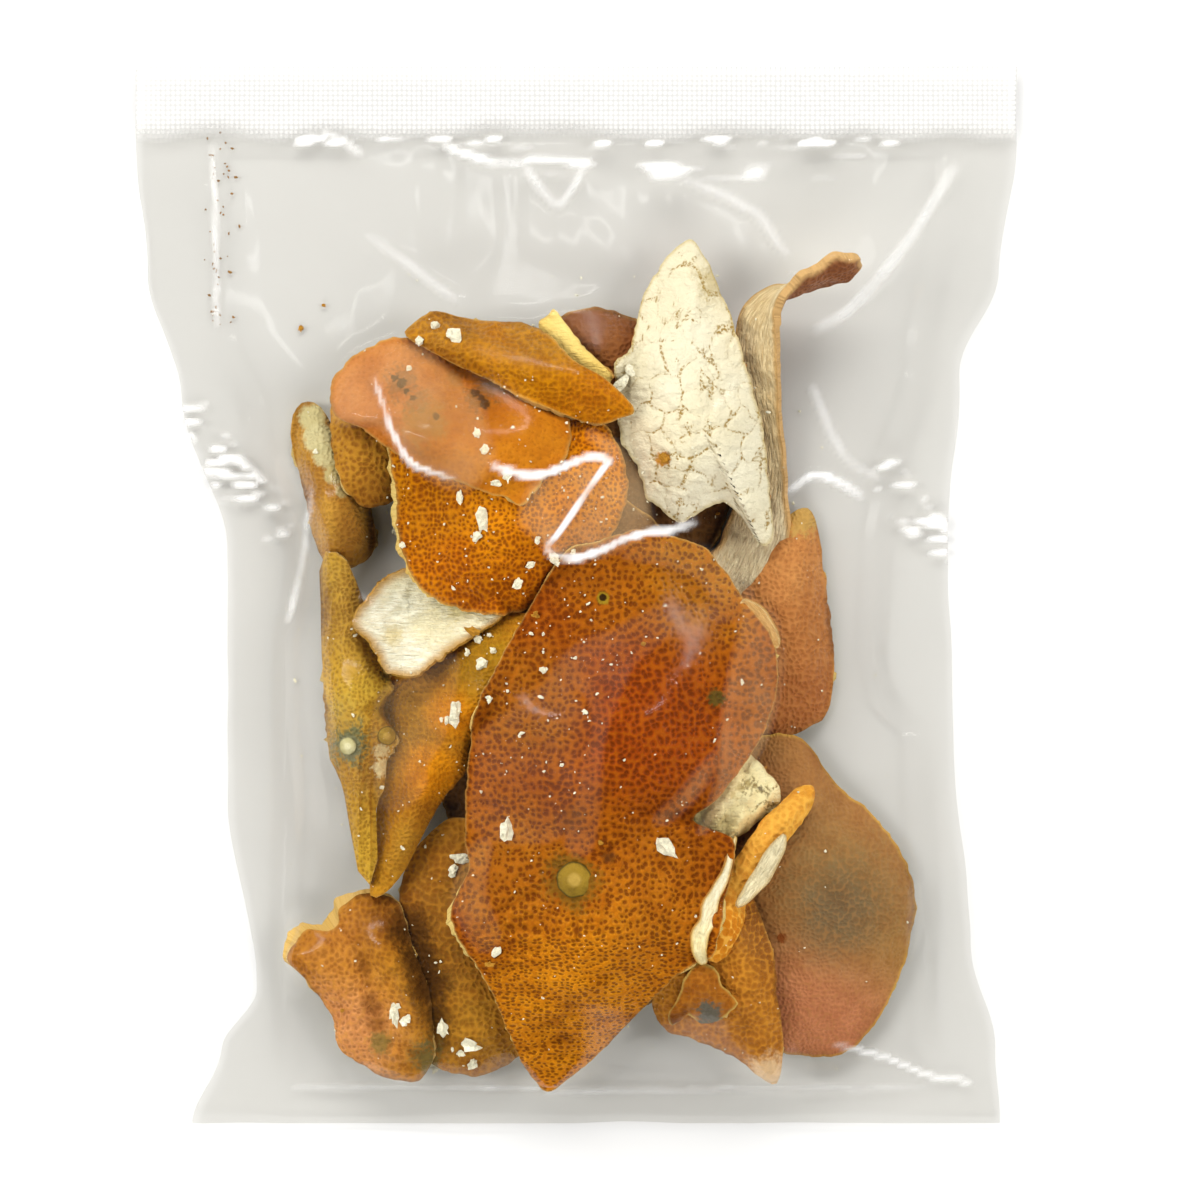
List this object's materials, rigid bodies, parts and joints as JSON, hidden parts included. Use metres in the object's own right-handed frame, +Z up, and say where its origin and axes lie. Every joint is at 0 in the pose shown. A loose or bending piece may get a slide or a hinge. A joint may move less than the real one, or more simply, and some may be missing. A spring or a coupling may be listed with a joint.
{
  "type": "pouch of dried orange peel",
  "caption": "Sealed clear film pouch with a crimped top seal and flat side seals, filled with curled pieces of dried orange peel, lying flat.",
  "frame": {"origin": "centre of the footprint, on the surface that the pouch lies on", "axes": "+Y from the bottom seal to the crimped top seal, +Z up through the pouch's thickness, +X to the right when the shown side is looked down on with the top seal away from the viewer"},
  "size_m": [0.152, 0.182, 0.0295],
  "materials": {
    "clear_film": "clear glossy film over orange and cream dried peel"
  },
  "bodies": {
    "root": {"sealed_pouch": "clear_film"}
  },
  "joints": []
}
